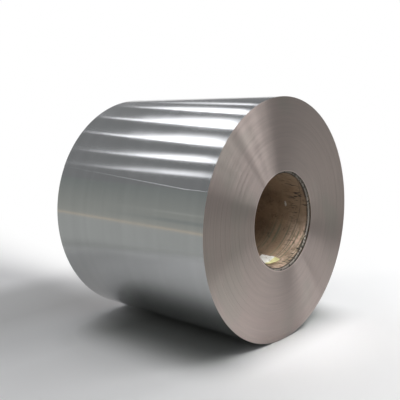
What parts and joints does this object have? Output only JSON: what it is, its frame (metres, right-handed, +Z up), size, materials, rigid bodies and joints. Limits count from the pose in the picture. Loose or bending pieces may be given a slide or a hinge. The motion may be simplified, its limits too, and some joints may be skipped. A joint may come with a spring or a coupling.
{
  "type": "aluminium coil",
  "caption": "Coil of mill-finish aluminium strip wound on a brown paperboard core tube, lying on its side.",
  "frame": {"origin": "on the floor under the middle of the coil", "axes": "+Y along the winding axis, away from the end that carries the label; +Z up"},
  "size_m": [1.299, 1.1016, 1.2997],
  "materials": {
    "aluminium_strip": "bright mill finish",
    "paperboard": "matt kraft board, stained",
    "label_paper": "matt white paper with a yellow end band"
  },
  "bodies": {
    "root": {"strip_coil": "aluminium_strip", "core_tube": "paperboard", "core_label": "label_paper"}
  },
  "joints": []
}
